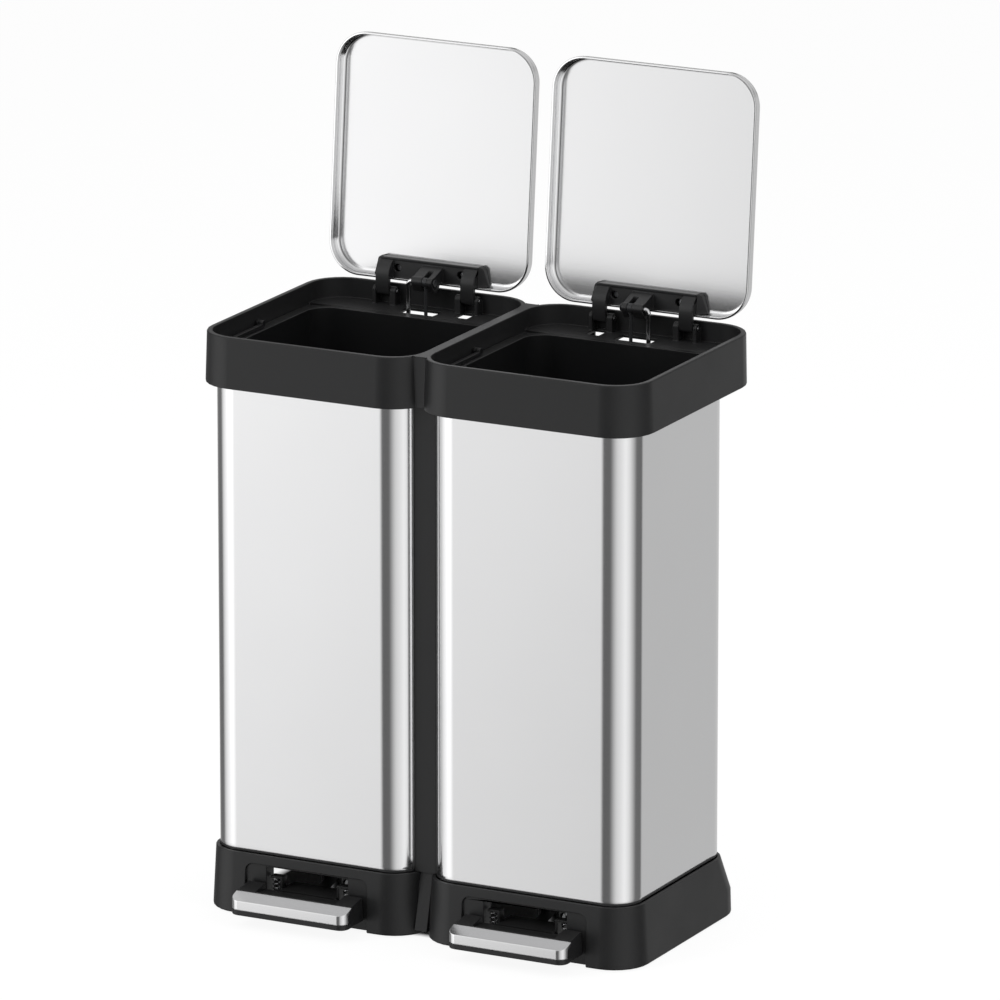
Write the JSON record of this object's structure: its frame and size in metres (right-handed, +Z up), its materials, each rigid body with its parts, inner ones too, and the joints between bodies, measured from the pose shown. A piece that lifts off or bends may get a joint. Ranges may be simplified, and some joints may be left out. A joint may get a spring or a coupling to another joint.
{
  "type": "double recycling bin",
  "caption": "Double step bin: two brushed steel bodies on a shared black base and rim, each with its own lid, pedal, linkage and lift-out bucket.",
  "frame": {"origin": "middle of the outer box with the lids open and the pedals down, on the floor", "axes": "+X across the two bins, to the right as the user faces them, -Y towards the user, +Z up"},
  "size_m": [0.5276, 0.364, 0.91],
  "materials": {
    "brushed_steel": "brushed stainless sheet, satin",
    "black_plastic": "moulded, fine grain",
    "bucket_plastic": "moulded, smooth",
    "plated_steel": "zinc-plated or polished",
    "black_steel": "black coated",
    "rubber": "matte"
  },
  "bodies": {
    "frame": {"base": "black_plastic", "top_rim": "black_plastic", "centre_strip_front": "black_plastic", "centre_strip_rear": "black_plastic", "shell_left": "brushed_steel", "rear_cover_left": "black_plastic", "foot_front_left": "rubber", "foot_rear_left": "rubber", "pedal_axle_left": "plated_steel", "pedal_spring_outer_left": "plated_steel", "hinge_pin_outer_left": "plated_steel", "pedal_spring_inner_left": "plated_steel", "hinge_pin_inner_left": "plated_steel", "damper_cylinder_left": "black_steel", "shell_right": "brushed_steel", "rear_cover_right": "black_plastic", "foot_front_right": "rubber", "foot_rear_right": "rubber", "pedal_axle_right": "plated_steel", "pedal_spring_outer_right": "plated_steel", "hinge_pin_outer_right": "plated_steel", "pedal_spring_inner_right": "plated_steel", "hinge_pin_inner_right": "plated_steel", "damper_cylinder_right": "black_steel"},
    "lid_unit_left": {"lid_left": "brushed_steel", "lid_bracket_left": "black_plastic", "bracket_screw_a_left": "plated_steel", "bracket_screw_b_left": "plated_steel"},
    "pedal_unit_left": {"pedal_lever_left": "plated_steel", "pedal_body_left": "black_plastic", "pedal_tread_left": "brushed_steel"},
    "lift_unit_left": {"lift_rod_left": "plated_steel"},
    "damper_unit_left": {"damper_rod_left": "black_steel", "damper_pin_left": "plated_steel"},
    "bucket_unit_left": {"bucket_left": "bucket_plastic"},
    "handle_unit_left": {"bucket_handle_left": "bucket_plastic"},
    "lid_unit_right": {"lid_right": "brushed_steel", "lid_bracket_right": "black_plastic", "bracket_screw_a_right": "plated_steel", "bracket_screw_b_right": "plated_steel"},
    "pedal_unit_right": {"pedal_lever_right": "plated_steel", "pedal_body_right": "black_plastic", "pedal_tread_right": "brushed_steel"},
    "lift_unit_right": {"lift_rod_right": "plated_steel"},
    "damper_unit_right": {"damper_rod_right": "black_steel", "damper_pin_right": "plated_steel"},
    "bucket_unit_right": {"bucket_right": "bucket_plastic"},
    "handle_unit_right": {"bucket_handle_right": "bucket_plastic"}
  },
  "joints": [
    {"name": "lid_hinge_left", "type": "hinge", "parent": "frame", "child": "lid_unit_left", "pos_m": [-0.131, 0.14343, 0.6328], "axis": [-1, 0, 0], "range_deg": [-95, 0]},
    {"name": "pedal_hinge_left", "type": "hinge", "parent": "frame", "child": "pedal_unit_left", "pos_m": [-0.131, -0.07197, 0.0305], "axis": [1, 0, 0], "range_deg": [-11.42, 0], "deforming": ["pedal_spring_outer_left", "pedal_spring_inner_left"]},
    {"name": "lift_slide_left", "type": "slide", "parent": "frame", "child": "lift_unit_left", "axis": [0, 0, 1], "range_m": [-0.037, 0]},
    {"name": "damper_slide_left", "type": "slide", "parent": "frame", "child": "damper_unit_left", "axis": [0, 0, 1], "range_m": [-0.037, 0]},
    {"name": "bucket_lift_left", "type": "slide", "parent": "frame", "child": "bucket_unit_left", "axis": [0, 0, 1], "range_m": [0, 0.56]},
    {"name": "handle_hinge_left", "type": "hinge", "parent": "bucket_unit_left", "child": "handle_unit_left", "pos_m": [-0.131, -0.01297, 0.6224], "axis": [-1, 0, 0], "range_deg": [0, 90]},
    {"name": "lid_hinge_right", "type": "hinge", "parent": "frame", "child": "lid_unit_right", "pos_m": [0.131, 0.14343, 0.6328], "axis": [-1, 0, 0], "range_deg": [-95, 0]},
    {"name": "pedal_hinge_right", "type": "hinge", "parent": "frame", "child": "pedal_unit_right", "pos_m": [0.131, -0.07197, 0.0305], "axis": [1, 0, 0], "range_deg": [-11.42, 0], "deforming": ["pedal_spring_outer_right", "pedal_spring_inner_right"]},
    {"name": "lift_slide_right", "type": "slide", "parent": "frame", "child": "lift_unit_right", "axis": [0, 0, 1], "range_m": [-0.037, 0]},
    {"name": "damper_slide_right", "type": "slide", "parent": "frame", "child": "damper_unit_right", "axis": [0, 0, 1], "range_m": [-0.037, 0]},
    {"name": "bucket_lift_right", "type": "slide", "parent": "frame", "child": "bucket_unit_right", "axis": [0, 0, 1], "range_m": [0, 0.56]},
    {"name": "handle_hinge_right", "type": "hinge", "parent": "bucket_unit_right", "child": "handle_unit_right", "pos_m": [0.131, -0.01297, 0.6224], "axis": [-1, 0, 0], "range_deg": [0, 90]}
  ],
  "couplings": [
    {"joint": "pedal_hinge_left", "follows": "lid_hinge_left", "ratio": 0.12011},
    {"joint": "lift_slide_left", "follows": "lid_hinge_left", "m_per_rad": 0.022233},
    {"joint": "damper_slide_left", "follows": "lid_hinge_left", "m_per_rad": 0.022233},
    {"joint": "pedal_hinge_right", "follows": "lid_hinge_right", "ratio": 0.12011},
    {"joint": "lift_slide_right", "follows": "lid_hinge_right", "m_per_rad": 0.022233},
    {"joint": "damper_slide_right", "follows": "lid_hinge_right", "m_per_rad": 0.022233}
  ]
}
